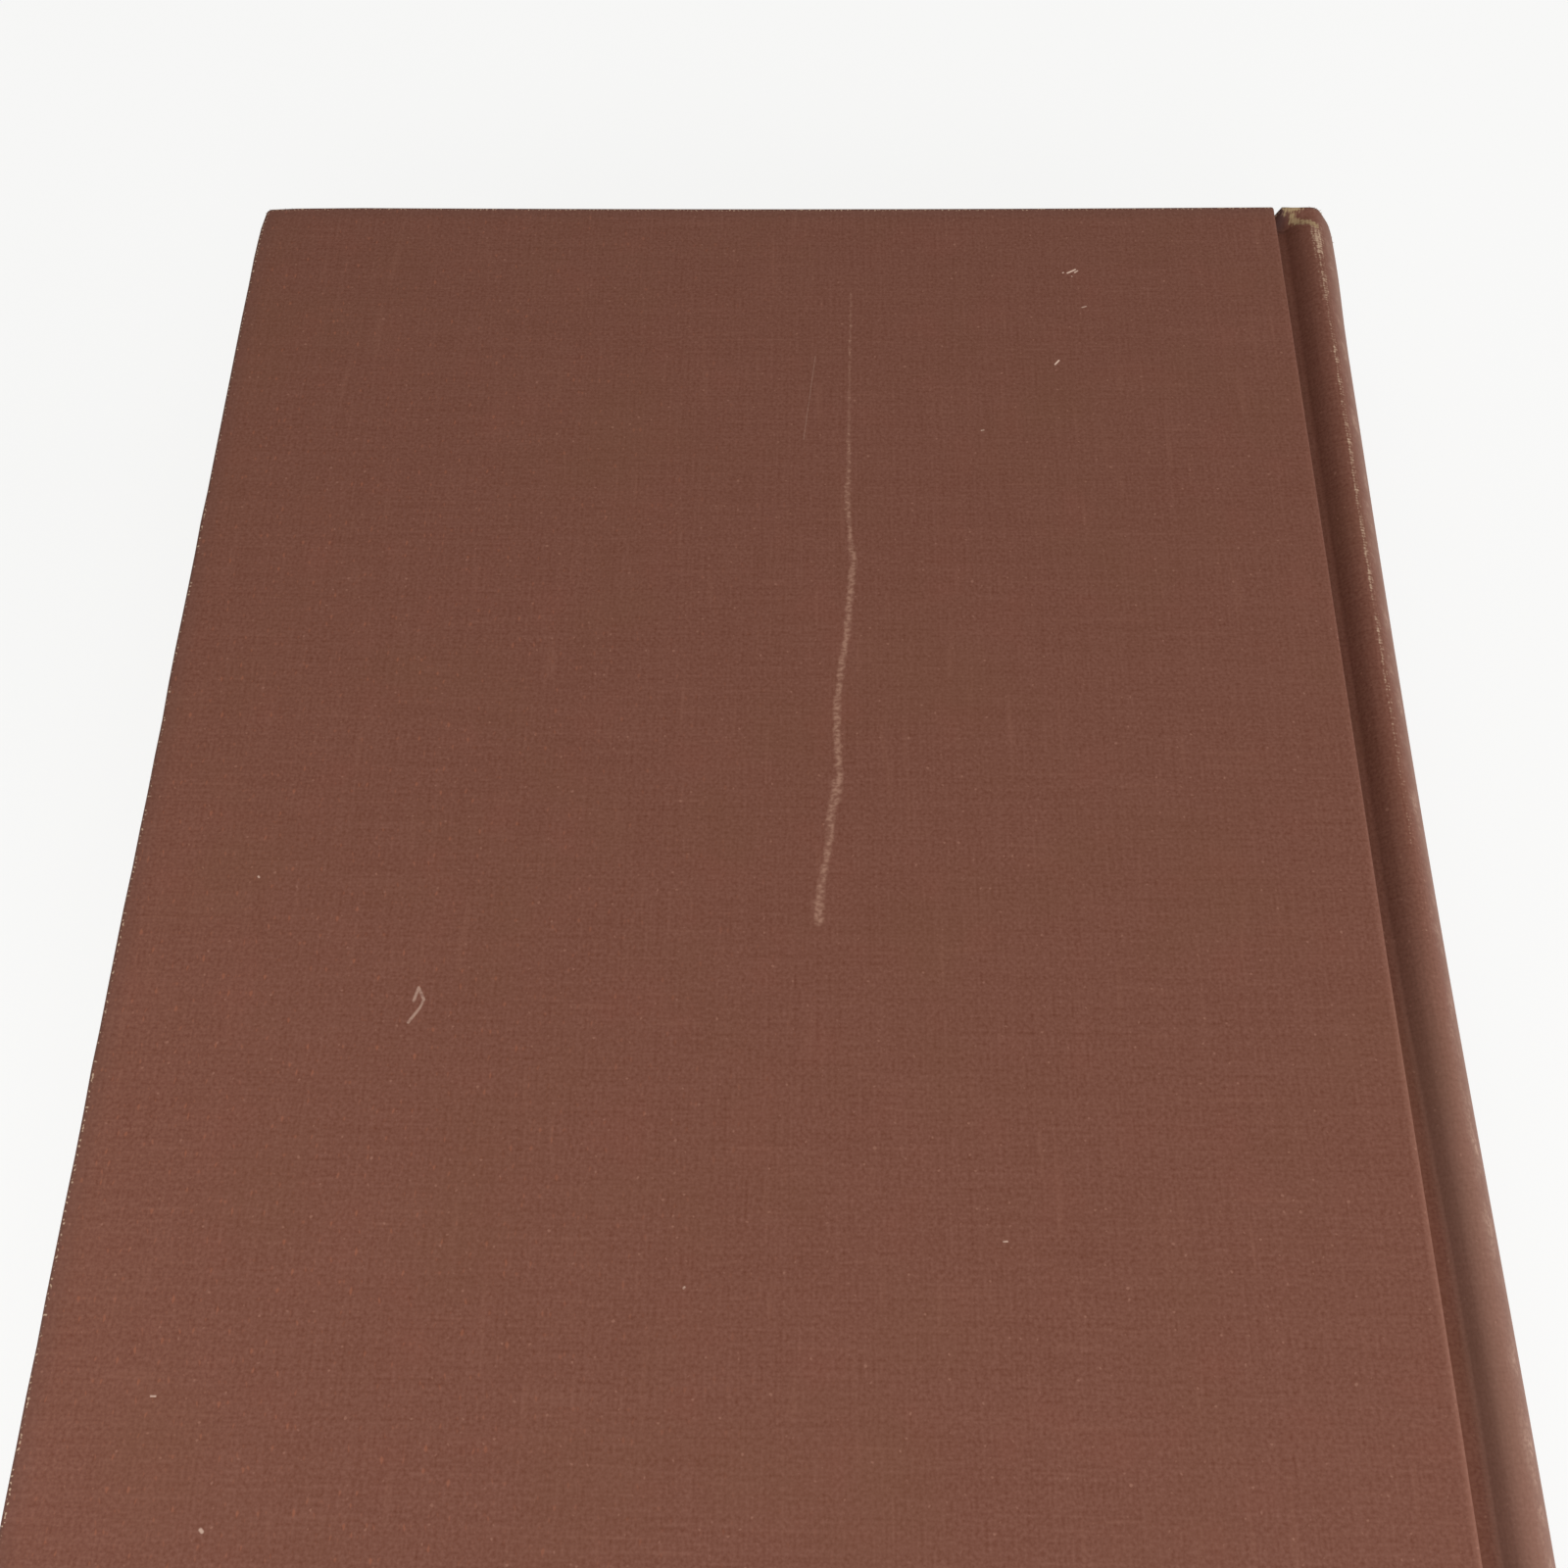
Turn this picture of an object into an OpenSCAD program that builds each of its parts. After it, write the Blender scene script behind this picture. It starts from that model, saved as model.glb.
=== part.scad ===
// Case-bound textbook lying on its front cover: spine towards +X, head towards +Y.
// Millimetres, +Z up, origin under the middle of the closed book.

/* [Leaves] */
// width of a leaf from its fold to the fore-edge
page_w = 152; // [110:1:200]
// height of a leaf
page_h = 229; // [160:1:300]
// thickness of all the leaves together, at the fore-edge
block_t = 25; // [18:0.5:40]
// thickness of the outermost leaves whose fore-edges stand square
fore_flat = 0.2; // [0.1:0.05:0.5]

/* [Covers] */
// thickness of a board
board_t = 2.5; // [1.8:0.1:3.5]
// thickness of the covering cloth
cloth_t = 0.4; // [0.25:0.05:0.6]
// how far a cover reaches past the leaves at head, tail and fore-edge
square_w = 3.5; // [2:0.25:5]
// width of the cloth turned in on the inside of a board
turn_in = 15; // [10:0.5:20]
// rounding of the two fore-edge corners of a board
corner_r = 1.2; // [0.6:0.1:3]
// width of the slit where two turn-ins meet at a corner
mitre_w = 0.3; // [0.2:0.05:0.6]

/* [Joint and spine] */
// distance from the edge of a cover to the middle of the shoulder's crest
joint_w = 5.1; // [4.7:0.1:6]
// rounding of the shoulder's crest
crest_r = 1.3; // [1:0.1:1.6]
// how far the crest lies below the outside of a cover
crest_drop = 0.35; // [0.2:0.05:0.8]
// steepness of the shoulder where it falls into the groove
shoulder_angle = 60; // [50:1:70]
// rounding of the groove at the foot of the shoulder
crease_r = 1; // [0.6:0.1:1.2]
// half of the angle that the round back turns through
spine_angle = 45; // [42:1:50]
// thickness of the card in the spine
inlay_t = 0.6; // [0.4:0.05:0.9]

/* [Endpapers and linings] */
// thickness of the endpapers
endpaper_t = 0.15; // [0.1:0.05:0.25]
// distance from the edge of a cover to its pastedown
paste_margin = 4; // [3:0.25:7]
// thickness of the mull on the back of the leaves
mull_t = 0.25; // [0.2:0.05:0.4]
// how far the mull stops short of head and tail
mull_short = 13; // [11:0.5:20]
// thickness of the paper lining over the mull
lining_t = 0.2; // [0.1:0.05:0.4]
// half thickness of the bead of a head or tail band
bead_r = 0.9; // [0.6:0.05:1.2]
// width of the tape that holds a band to the back of the leaves
band_skirt = 9; // [6:0.5:10.5]

/* [Clearances] */
// gap between a closed cover and the flyleaf
cover_gap = 0.2; // [0.15:0.05:0.4]
// gap between the spine's turn-in and the lining
hollow_gap = 0.3; // [0.2:0.05:0.6]
// gap between the cloth on a cover's edge and the cloth in the groove
groove_gap = 0.35; // [0.3:0.05:0.5]
// height of the groove's cloth over the leaves
groove_lift = 0.6; // [0.5:0.05:0.8]
// film of glue between the curved layers of the spine
glue_gap = 0.05; // [0.03:0.01:0.1]

/* [Hidden] */
$fn = 96;
eps = 0.01;
far = 400;
seam_step = 0.02;

// thickness from the outside of a closed cover to the underside of its pastedown
shell_t = board_t + 2 * cloth_t;
cover_t = shell_t + endpaper_t;
case_t = block_t + 2 * (endpaper_t + cover_gap + cover_t);
mid = case_t / 2;
leaf_z = block_t / 2;

// Profile points are [x, z], with z counted from the middle of the thickness
// and x from the cover's edge at the joint.
crest_z = mid - crest_drop - crest_r;
crest = [joint_w, crest_z];
spine_x = joint_w - crest_z / tan(spine_angle);
spine_r = crest_r + crest_z / sin(spine_angle);
floor_z = leaf_z + groove_lift + cloth_t;
normal_angle = 90 + shoulder_angle;
crease_z = floor_z + crease_r;
crease_reach = crest_r + crease_r - sin(normal_angle) * (crease_z - crest_z);
crease = [joint_w + crease_reach / cos(normal_angle), crease_z];

// layers of the spine, from the outside in
cloth_in_r = spine_r - cloth_t;
inlay_r = cloth_in_r - glue_gap;
spine_turn_r = inlay_r - inlay_t - glue_gap;
spine_in_r = spine_turn_r - cloth_t;
lining_r = spine_in_r - hollow_gap;
mull_r = lining_r - lining_t - glue_gap;
block_r = mull_r - mull_t - glue_gap;

// shoulder of the leaves, and their fore-edge: every leaf is page_w wide
block_crest = [spine_x + block_r * cos(spine_angle), block_r * sin(spine_angle)];
flare_z = block_crest[1] - leaf_z;
flare_x = flare_z / tan(shoulder_angle);
shoulder_x = block_crest[0] - flare_x;
flare_len = flare_z / sin(shoulder_angle);
fore_x = shoulder_x + flare_len - page_w;
hollow_s = spine_x + block_r - page_w - fore_x;
hollow_z = leaf_z - fore_flat;
hollow_r = (hollow_s * hollow_s + hollow_z * hollow_z) / (2 * hollow_s);

// outline of a cover
cover_x = fore_x - square_w;
cover_w = -cover_x;
cover_h = page_h + 2 * square_w;
board_w = cover_w - 2 * cloth_t;
board_h = cover_h - 2 * cloth_t;
shift_x = (cover_w - spine_x - spine_r) / 2;
band_angle = spine_angle - 2;

function arc(c, r, a0, a1, n) =
    [for (i = [0:n]) let (a = a0 + (a1 - a0) * i / n) c + r * [cos(a), sin(a)]];

// one joint of the spine cloth, from the groove over the shoulder to the round back
function joint_path(inset) = concat(
    [[groove_gap, floor_z - inset]],
    arc(crease, crease_r + inset, -90, normal_angle - 180, 5),
    arc(crest, crest_r - inset, normal_angle, spine_angle, 9));

function reversed(p) = [for (i = [len(p) - 1:-1:0]) p[i]];

// a profile drawn in [x, z] and run along the height of the book, centred on y
module along_y(height, y = 0) {
    translate([shift_x, y, mid])
        rotate([90, 0, 0])
            linear_extrude(height, center = true)
                children();
}

// the same thing for the cover below, from the cover above
module lower() {
    translate([0, 0, mid])
        mirror([0, 0, 1])
            translate([0, 0, -mid])
                children();
}

// a profile drawn in [radius, y], turned about the axis of the round back
module round_back(angle) {
    translate([shift_x + spine_x, 0, mid])
        rotate([-90, 0, 0])
            rotate([0, 0, -angle])
                rotate_extrude(angle = 2 * angle)
                    children();
}

// a layer of the round back, centred on y
module back_layer(r_out, t, height, angle) {
    round_back(angle)
        translate([r_out - t, -height / 2])
            square([t, height]);
}

// rectangle whose two corners at the fore-edge are rounded
module cover_outline(w, h, r) {
    union() {
        translate([r, -h / 2])
            square([w - r, h]);
        translate([0, -h / 2 + r])
            square([w, h - 2 * r]);
        for (side = [-1, 1])
            translate([r, side * (h / 2 - r)])
                circle(r);
    }
}

// leaves

// leaves with their shoulders, running on past the round back
module leaves_outline() {
    reach_x = shoulder_x + 3 * flare_x;
    reach_z = leaf_z + 3 * flare_z;
    polygon([
        [fore_x, -leaf_z],
        [shoulder_x, -leaf_z],
        [reach_x, -reach_z],
        [reach_x + block_r, -reach_z],
        [reach_x + block_r, reach_z],
        [reach_x, reach_z],
        [shoulder_x, leaf_z],
        [fore_x, leaf_z]]);
}

module text_block() {
    color([0.85, 0.79, 0.65])
        along_y(page_h)
            difference() {
                intersection() {
                    leaves_outline();
                    union() {
                        translate([spine_x, 0])
                            circle(block_r);
                        translate([spine_x - page_w, -block_t])
                            square([page_w, 2 * block_t]);
                    }
                }
                translate([fore_x + hollow_s - hollow_r, 0])
                    circle(hollow_r);
            }
}

module flyleaf() {
    color([0.87, 0.82, 0.69])
        translate([shift_x + fore_x, -page_h / 2, mid + leaf_z])
            cube([shoulder_x - fore_x, page_h, endpaper_t]);
}

module front_flyleaf() {
    lower() flyleaf();
}

module back_flyleaf() {
    flyleaf();
}

// linings and bands on the back of the leaves

module mull() {
    color([0.80, 0.77, 0.68])
        back_layer(mull_r, mull_t, page_h - 2 * mull_short, band_angle);
}

module spine_lining() {
    color([0.66, 0.55, 0.40])
        back_layer(lining_r, lining_t, page_h - 1, band_angle);
}

module band() {
    skirt_h = band_skirt + 1.3 * bead_r;
    color([0.80, 0.74, 0.62])
        round_back(band_angle)
            union() {
                translate([mull_r - mull_t, page_h / 2 - band_skirt])
                    square([mull_t, skirt_h]);
                translate([mull_r - mull_t / 2 - bead_r, page_h / 2 + bead_r])
                    circle(bead_r);
            }
}

module head_band() {
    band();
}

module tail_band() {
    mirror([0, 1, 0]) band();
}

// spine of the case

module spine_inlay() {
    color([0.60, 0.55, 0.47])
        back_layer(inlay_r, inlay_t, board_h - 2 * glue_gap, spine_angle);
}

// cloth of one joint, with a tongue that runs on into the cloth of the round back
module joint_band() {
    tongue_angle = spine_angle - 2;
    tongue = [cos(tongue_angle), sin(tongue_angle)];
    along_y(cover_h - 2 * seam_step)
        polygon(concat(
            joint_path(seam_step),
            [[spine_x, 0] + (spine_r - cloth_t / 3) * tongue],
            [[spine_x, 0] + (cloth_in_r + cloth_t / 3) * tongue],
            reversed(joint_path(cloth_t - seam_step))));
}

// half of the cloth's profile at the round back, folded over the inlay at the head
module fold_profile() {
    head = cover_h / 2;
    polygon([
        [spine_r, 0],
        [spine_r, head],
        [spine_in_r, head],
        [spine_in_r, head - turn_in],
        [spine_turn_r, head - turn_in],
        [spine_turn_r, head - cloth_t],
        [cloth_in_r, head - cloth_t],
        [cloth_in_r, 0]]);
}

module spine_cloth() {
    color([0.43, 0.27, 0.23])
        union() {
            round_back(spine_angle)
                union() {
                    fold_profile();
                    mirror([0, 1])
                        fold_profile();
                }
            joint_band();
            lower()
                joint_band();
        }
}

// covers, drawn as the back cover and mirrored for the front one

module board() {
    color([0.58, 0.53, 0.45])
        translate([shift_x + cover_x + cloth_t, 0, case_t - cloth_t - board_t])
            linear_extrude(board_t)
                cover_outline(board_w, board_h, corner_r);
}

module cover_cloth() {
    color([0.43, 0.27, 0.23])
        translate([shift_x + cover_x, 0, case_t - shell_t])
            difference() {
                linear_extrude(shell_t)
                    cover_outline(cover_w, cover_h, corner_r + cloth_t);
                translate([cloth_t, 0, cloth_t])
                    linear_extrude(board_t)
                        cover_outline(board_w, board_h, corner_r);
                translate([turn_in, turn_in - cover_h / 2, -eps])
                    cube([cover_w, cover_h - 2 * turn_in, cloth_t + 2 * eps]);
                for (side = [-1, 1])
                    translate([turn_in, side * (cover_h / 2 - turn_in), cloth_t / 2])
                        rotate([0, 0, side * 135])
                            translate([(turn_in - 2) / sqrt(2), 0, 0])
                                cube([sqrt(2) * (turn_in - 2), mitre_w, cloth_t + 2 * eps], center = true);
            }
}

module pastedown() {
    sheet_w = cover_w - paste_margin;
    sheet_h = cover_h - 2 * paste_margin;
    dip_x = turn_in - paste_margin;
    dip_h = cover_h - 2 * turn_in;
    color([0.87, 0.82, 0.69])
        translate([shift_x + cover_x + paste_margin, 0, case_t - cover_t])
            difference() {
                translate([0, -sheet_h / 2, 0])
                    cube([sheet_w, sheet_h, cloth_t + endpaper_t]);
                difference() {
                    translate([-1, -sheet_h / 2 - 1, endpaper_t])
                        cube([sheet_w + 2, sheet_h + 2, cloth_t + 1]);
                    translate([dip_x, -dip_h / 2, 0])
                        cube([sheet_w, dip_h, far]);
                }
                translate([dip_x + endpaper_t, endpaper_t - dip_h / 2, -1])
                    cube([sheet_w, dip_h - 2 * endpaper_t, cloth_t + 1]);
            }
}

module front_board() {
    lower() board();
}

module front_cover_cloth() {
    lower() cover_cloth();
}

module front_pastedown() {
    lower() pastedown();
}

module back_board() {
    board();
}

module back_cover_cloth() {
    cover_cloth();
}

module back_pastedown() {
    pastedown();
}

text_block();
front_flyleaf();
back_flyleaf();
mull();
spine_lining();
head_band();
tail_band();
spine_inlay();
spine_cloth();
front_board();
front_cover_cloth();
front_pastedown();
back_board();
back_cover_cloth();
back_pastedown();
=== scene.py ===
"""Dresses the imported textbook: worn cloth case, leaves, papers, bands and card, with floor, light and camera."""

import random
from math import atan2, copysign, cos, dist, hypot, pi, radians, sin, sqrt

import bmesh
import bpy
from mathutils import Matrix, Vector, noise


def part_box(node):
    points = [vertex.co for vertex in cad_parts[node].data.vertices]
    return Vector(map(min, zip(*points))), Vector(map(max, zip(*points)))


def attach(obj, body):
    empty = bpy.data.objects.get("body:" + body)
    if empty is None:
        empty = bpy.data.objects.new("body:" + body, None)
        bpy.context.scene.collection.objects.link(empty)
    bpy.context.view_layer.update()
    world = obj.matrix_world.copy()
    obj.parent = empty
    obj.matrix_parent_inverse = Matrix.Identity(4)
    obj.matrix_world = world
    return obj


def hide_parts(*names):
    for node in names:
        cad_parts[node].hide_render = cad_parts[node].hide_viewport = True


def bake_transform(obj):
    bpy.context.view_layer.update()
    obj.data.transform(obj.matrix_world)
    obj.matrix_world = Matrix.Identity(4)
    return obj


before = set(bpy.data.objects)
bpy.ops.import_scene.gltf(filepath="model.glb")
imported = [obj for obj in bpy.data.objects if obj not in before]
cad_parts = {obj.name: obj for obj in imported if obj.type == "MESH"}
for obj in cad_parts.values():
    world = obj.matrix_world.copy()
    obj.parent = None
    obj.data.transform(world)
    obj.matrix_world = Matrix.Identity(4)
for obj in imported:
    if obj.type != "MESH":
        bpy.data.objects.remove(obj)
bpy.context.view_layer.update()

MM = 0.001

# The case, as the solids have it. The joint edge is the cover's edge beside the groove.
back_low, back_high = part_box("back_cover_cloth")
FORE, JOINT = back_low.x, back_high.x
HEAD = back_high.y
TOP = back_high.z
MID = TOP / 2
SHELL = TOP - back_low.z

# Sizes that the cloth and papers here share with the solids.
ROLL = 0.42 * MM  # round of the cloth over the boards' edges
CORNER = 0.8 * MM  # round of the boards' fore corners
TURN_IN = 15 * MM
GROOVE = 2.8 * MM  # depth below the cover's face
FOOT = 0.9 * MM  # round from the joint edge to the floor of the groove
CLOTH = 0.32 * MM
SPINE_X = JOINT - 9.55 * MM  # axis of the round back
SPINE_R = 22.0182 * MM
BLOCK_R = 19.668 * MM  # round of the leaves' back
LEAF_Z = 12.5 * MM  # half the thickness of the leaves
PAGE = 114.5 * MM  # half their height
BLOCK_FORE = JOINT - 146.83 * MM
CORD = 0.9 * MM  # half the thickness of a band
BAND_SPREAD = 43  # degrees from the middle of the spine

END_ROWS = [d * MM for d in (1.0, 1.4, 1.8, 2.2, 2.6, 3.0, 4.0, 6.5, 10)]  # fine rows of cloth at head and tail


def smooth(t):
    t = min(1.0, max(0.0, t))
    return t * t * (3 - 2 * t)


def rise(x, start, reach):
    """Goes softly from 0 to 1 as x passes from start over a reach, both in mm."""
    return smooth((x - start * MM) / (reach * MM))


def turn(x, z, radius, first, last, steps):
    """Points of an arc in section, angles in degrees."""
    angles = [radians(first + (last - first) * k / (steps - 1)) for k in range(steps)]
    return [(x + radius * cos(a), z + radius * sin(a)) for a in angles]


def joint_section():
    """Section of the cloth from the cover's face through the groove and over the shoulder to the middle of the
    spine. x is from the joint edge, z from the cover's face."""
    crest_x, crest_z, crest_r, crease_r = 5.5 * MM, -2.3 * MM, 2.1 * MM, 0.5 * MM
    slope, crest_end, spine_start = 145, 120, 22  # degrees
    lean = radians(slope)
    crease_x = crest_x + (crease_r + crest_r - (crease_r - GROOVE - crest_z) * sin(lean)) / cos(lean)
    path = turn(-ROLL, -ROLL, ROLL, 90, 0, 4)
    path += [(0.0, -1.2 * MM)]
    path += turn(FOOT, FOOT - GROOVE, FOOT, 180, 270, 7)
    path += [((FOOT + crease_x) / 2, -GROOVE)]
    path += turn(crease_x, crease_r - GROOVE, crease_r, 270, slope + 180, 6)
    crest = turn(crest_x, crest_z, crest_r, slope, crest_end, 5)
    path += [tuple(a + (b - a) * k / 5 for a, b in zip(path[-1], crest[0])) for k in range(1, 5)]
    path += crest
    spine = turn(SPINE_X - JOINT, -MID, SPINE_R, spine_start, 0, 12)
    # From the crest the cloth eases into the round of the spine.
    pull, steps = 0.7, 26
    start, stop = path[-1], spine[0]
    leave_way, meet_way = [(sin(a), -cos(a)) for a in map(radians, (crest_end, spine_start))]
    dx, dz = stop[0] - start[0], stop[1] - start[1]
    area = leave_way[0] * meet_way[1] - meet_way[0] * leave_way[1]
    near_hand = pull * (dx * meet_way[1] - meet_way[0] * dz) / area
    far_hand = pull * (leave_way[0] * dz - dx * leave_way[1]) / area
    hands = [
        (start[i], start[i] + near_hand * leave_way[i], stop[i] - far_hand * meet_way[i], stop[i]) for i in (0, 1)
    ]
    for k in range(1, steps):
        t = k / steps
        weights = ((1 - t) ** 3, 3 * (1 - t) ** 2 * t, 3 * (1 - t) * t * t, t**3)
        path.append(tuple(sum(w * h for w, h in zip(weights, hand)) for hand in hands))
    return path + spine


SECTION = joint_section()
RUN = [-ROLL]  # sheet length from the joint edge to each point of the section
for near, far in zip(SECTION, SECTION[1:]):
    RUN.append(RUN[-1] + dist(near, far))
SPINE_RUN = RUN[-1]  # to the middle of the spine
CREST_RUN = next(r for r, p in zip(RUN, SECTION) if p[0] > 5.4 * MM)  # to the top of the shoulder


def section_normal(k):
    """Unit normal of the section at point k, out of the book."""
    a, b = SECTION[max(0, k - 1)], SECTION[min(len(SECTION) - 1, k + 1)]
    dx, dz = b[0] - a[0], b[1] - a[1]
    size = hypot(dx, dz)
    return (-dz / size, dx / size)


# ---- shape of the old case


def bow(x, y):
    """The joint edge runs out a little towards the tail, the round back is drawn in at half height, and its caps
    stand out."""
    run_out, cap_out, drawn_in = 0.3 * MM, 0.35 * MM, 0.7 * MM
    along = max(0.0, 1 - ((y - 25 * MM) / (96 * MM)) ** 2) ** 2
    back = rise(x - JOINT, 0, 8)
    out = run_out * rise(-y, -10, 65) * rise(x - JOINT, -45, 45) * (1 - 0.5 * back)
    cap = cap_out * rise(abs(y) - HEAD, -20, 16) * rise(x - JOINT, 5, 4)
    return out + cap + crease_shift(x, y) - drawn_in * back * along


def in_groove(x):
    """1 at the crease of the groove, 0 at the joint edge and on the shoulder."""
    return rise(x - JOINT, 0.2, 1.6) * (1 - rise(x - JOINT, 2.2, 3.0))


def crease_shift(x, y):
    """The groove is narrower in the far half than in the near half."""
    return (-0.45 + 0.8 * rise(-y, -15, 55)) * MM * in_groove(x)


def groove_lift(x, y):
    """It is also deeper in the far half."""
    return (-0.2 + 0.65 * rise(-y, -15, 55)) * MM * in_groove(x)


def cover_lift(x, y):
    """The back cover is cupped a little, and its fore corner at the head is knocked down."""
    sunk, cup, ripple, knock = 0.1 * MM, 0.38 * MM, 0.05 * MM, 0.5 * MM
    across = (x - (FORE + JOINT) / 2) / ((JOINT - FORE) / 2)
    lift = -sunk + cup * across * across
    lift += ripple * noise.noise(Vector((x * 22, y * 22, 3.1)))
    reach = hypot(x - FORE, HEAD - y) / (11 * MM)
    if reach < 1:
        lift -= knock * (1 - reach) ** 1.6
    return lift


def fore_wear(x, y):
    """The knocked corner is pushed in along the head, and the fore edge is uneven."""
    push, uneven = 0.45 * MM, 0.16 * MM
    pushed = push * max(0.0, 1 - (HEAD - y) / (4.5 * MM)) * (1 - rise(x - FORE, 0, 9))
    return pushed + uneven * noise.noise(Vector((0.3, y * 130, 8.8))) * (1 - rise(x - FORE, 0, 4))


def section_height(across):
    """Height of the cloth's outer side from the cover's face, at a distance from the joint edge."""
    for near, far in zip(SECTION, SECTION[1:]):
        if near[0] <= across < far[0]:
            return near[1] + (far[1] - near[1]) * (across - near[0]) / (far[0] - near[0])
    return SECTION[-1][1]


def end_pinch(x, y):
    """At head and tail the folded cloth is too thick to be pressed into the groove, so it ends in a flat cap."""
    across = x - JOINT
    end = rise(abs(y) - HEAD, -1.9, 1.5)
    if end == 0 or not 0.1 * MM < across < 8 * MM:
        return 0.0
    cap, drop = 0.3 * MM, 2.2 * MM  # height over the cover's face, and the slope down to the joint edge
    level = cap - drop * (1 - rise(across, 0.25, 1.5))
    lift = (level - section_height(across) - groove_lift(x, y)) * (1 - rise(across, 5.2, 2.4))
    return max(0.0, lift) * end


def age_back(v):
    """Moves one point of the back cover or of the cloth beside it."""
    fade = 1 - rise(v.x - JOINT, 0, 2.2)
    lift = cover_lift(min(v.x, JOINT), v.y) * fade + end_pinch(v.x, v.y) + groove_lift(v.x, v.y)
    v.x += bow(v.x, v.y) + fore_wear(v.x, v.y)
    v.z += lift


def age_front(v):
    """The front cover lies flat on the table, so nothing there stands out past its face."""
    lift = end_pinch(v.x, v.y) + groove_lift(v.x, v.y)
    v.x += bow(v.x, v.y)
    v.z += min(lift, max(0.0, TOP - v.z))


# ---- hand tools for the meshes


def clear():
    bpy.ops.object.select_all(action="DESELECT")


def take(piece):
    """Makes one piece the selected and active one."""
    clear()
    piece.select_set(True)
    bpy.context.view_layer.objects.active = piece


def join(piece, other):
    take(piece)
    other.select_set(True)
    bpy.ops.object.join()


def added(name):
    """The piece that was just added, under its name."""
    piece = bpy.context.object
    piece.name = name
    return piece


def edit():
    bpy.ops.object.mode_set(mode="EDIT")


def leave():
    bpy.ops.object.mode_set(mode="OBJECT")


def select_all():
    bpy.ops.mesh.select_all(action="SELECT")


def pick(piece, kind, wanted):
    """Selects the edges or faces that the test wants."""
    bpy.ops.mesh.select_mode(type=kind)
    mesh = bmesh.from_edit_mesh(piece.data)
    for group in (mesh.verts, mesh.edges, mesh.faces):
        for item in group:
            item.select = False
    for item in mesh.edges if kind == "EDGE" else mesh.faces:
        if wanted(item):
            item.select_set(True)
    mesh.select_flush_mode()
    bmesh.update_edit_mesh(piece.data)


def slab(name, low, high):
    """A box between two corners, with its object at the origin, in edit mode."""
    clear()
    centre = [(a + b) / 2 for a, b in zip(low, high)]
    bpy.ops.mesh.primitive_cube_add(size=1, location=centre, scale=[b - a for a, b in zip(low, high)])
    piece = added(name)
    bpy.ops.object.transform_apply(location=True, rotation=True, scale=True)
    edit()
    return piece


def slice_at(xs=(), ys=()):
    cuts = [((x, 0, 0), (1, 0, 0)) for x in xs] + [((0, y, 0), (0, 1, 0)) for y in ys]
    for point, normal in cuts:
        select_all()
        bpy.ops.mesh.bisect(plane_co=point, plane_no=normal)


def near_to(a, b):
    return abs(a - b) < 1e-5


def round_corners(piece, fore, segments):
    """Rounds the two upright edges at the fore side of a slab."""

    def upright(e):
        return all(near_to(v.co.x, fore) for v in e.verts) and near_to(e.verts[0].co.y, e.verts[1].co.y)

    pick(piece, "EDGE", upright)
    bpy.ops.mesh.bevel(offset=CORNER, segments=segments, affect="EDGES")


def spin_round_spine(y, angle, steps):
    select_all()
    bpy.ops.mesh.spin(steps=steps, angle=angle, center=(SPINE_X, y, MID), axis=(0, 1, 0), use_auto_merge=False)


def close_ends(piece):
    pick(piece, "EDGE", lambda e: e.is_boundary)
    bpy.ops.mesh.edge_face_add()


def face_out():
    select_all()
    bpy.ops.mesh.normals_make_consistent(inside=False)


def weld(gap):
    """Merges double points and turns all faces out."""
    select_all()
    bpy.ops.mesh.remove_doubles(threshold=gap)
    face_out()


def thicken(piece, thickness):
    """Gives a sheet its thickness on its inner side."""
    layer = piece.modifiers.new("thickness", "SOLIDIFY")
    layer.thickness = thickness
    layer.offset = -1
    layer.use_quality_normals = True
    bpy.context.view_layer.objects.active = piece
    bpy.ops.object.modifier_apply(modifier=layer.name)


def mirror_down(piece):
    """Makes a piece of the front cover from one shaped for the back cover."""
    for v in piece.data.vertices:
        v.co.z = TOP - v.co.z
    edit()
    select_all()
    bpy.ops.mesh.flip_normals()
    leave()


def soften(piece, degrees):
    take(piece)
    bpy.ops.object.shade_smooth_by_angle(angle=radians(degrees))
    piece.select_set(False)


def dress(piece, material):
    piece.data.materials.clear()
    piece.data.materials.append(material)


def finish_piece(piece, material, body=None, stands_for=()):
    dress(piece, material)
    if body:
        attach(piece, body)
    if stands_for:
        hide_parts(*stands_for)


def sheet_grid(name, columns, rows, place):
    """A grid sheet whose points are placed by column and row."""
    clear()
    bpy.ops.mesh.primitive_grid_add(x_subdivisions=columns - 1, y_subdivisions=rows - 1, size=1)
    piece = added(name)
    for k, v in enumerate(piece.data.vertices):
        v.co = place(k % columns, k // columns)
    return piece


# ---- covering cloth


def grid_lines(low, high, close, step):
    """Cut lines that lie close together at both ends."""
    lines = [low + d for d in close] + [high - d for d in close]
    x = low + close[-1] + step
    while x < high - close[-1] - step / 2:
        lines.append(x)
        x += step
    return sorted(lines)


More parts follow.
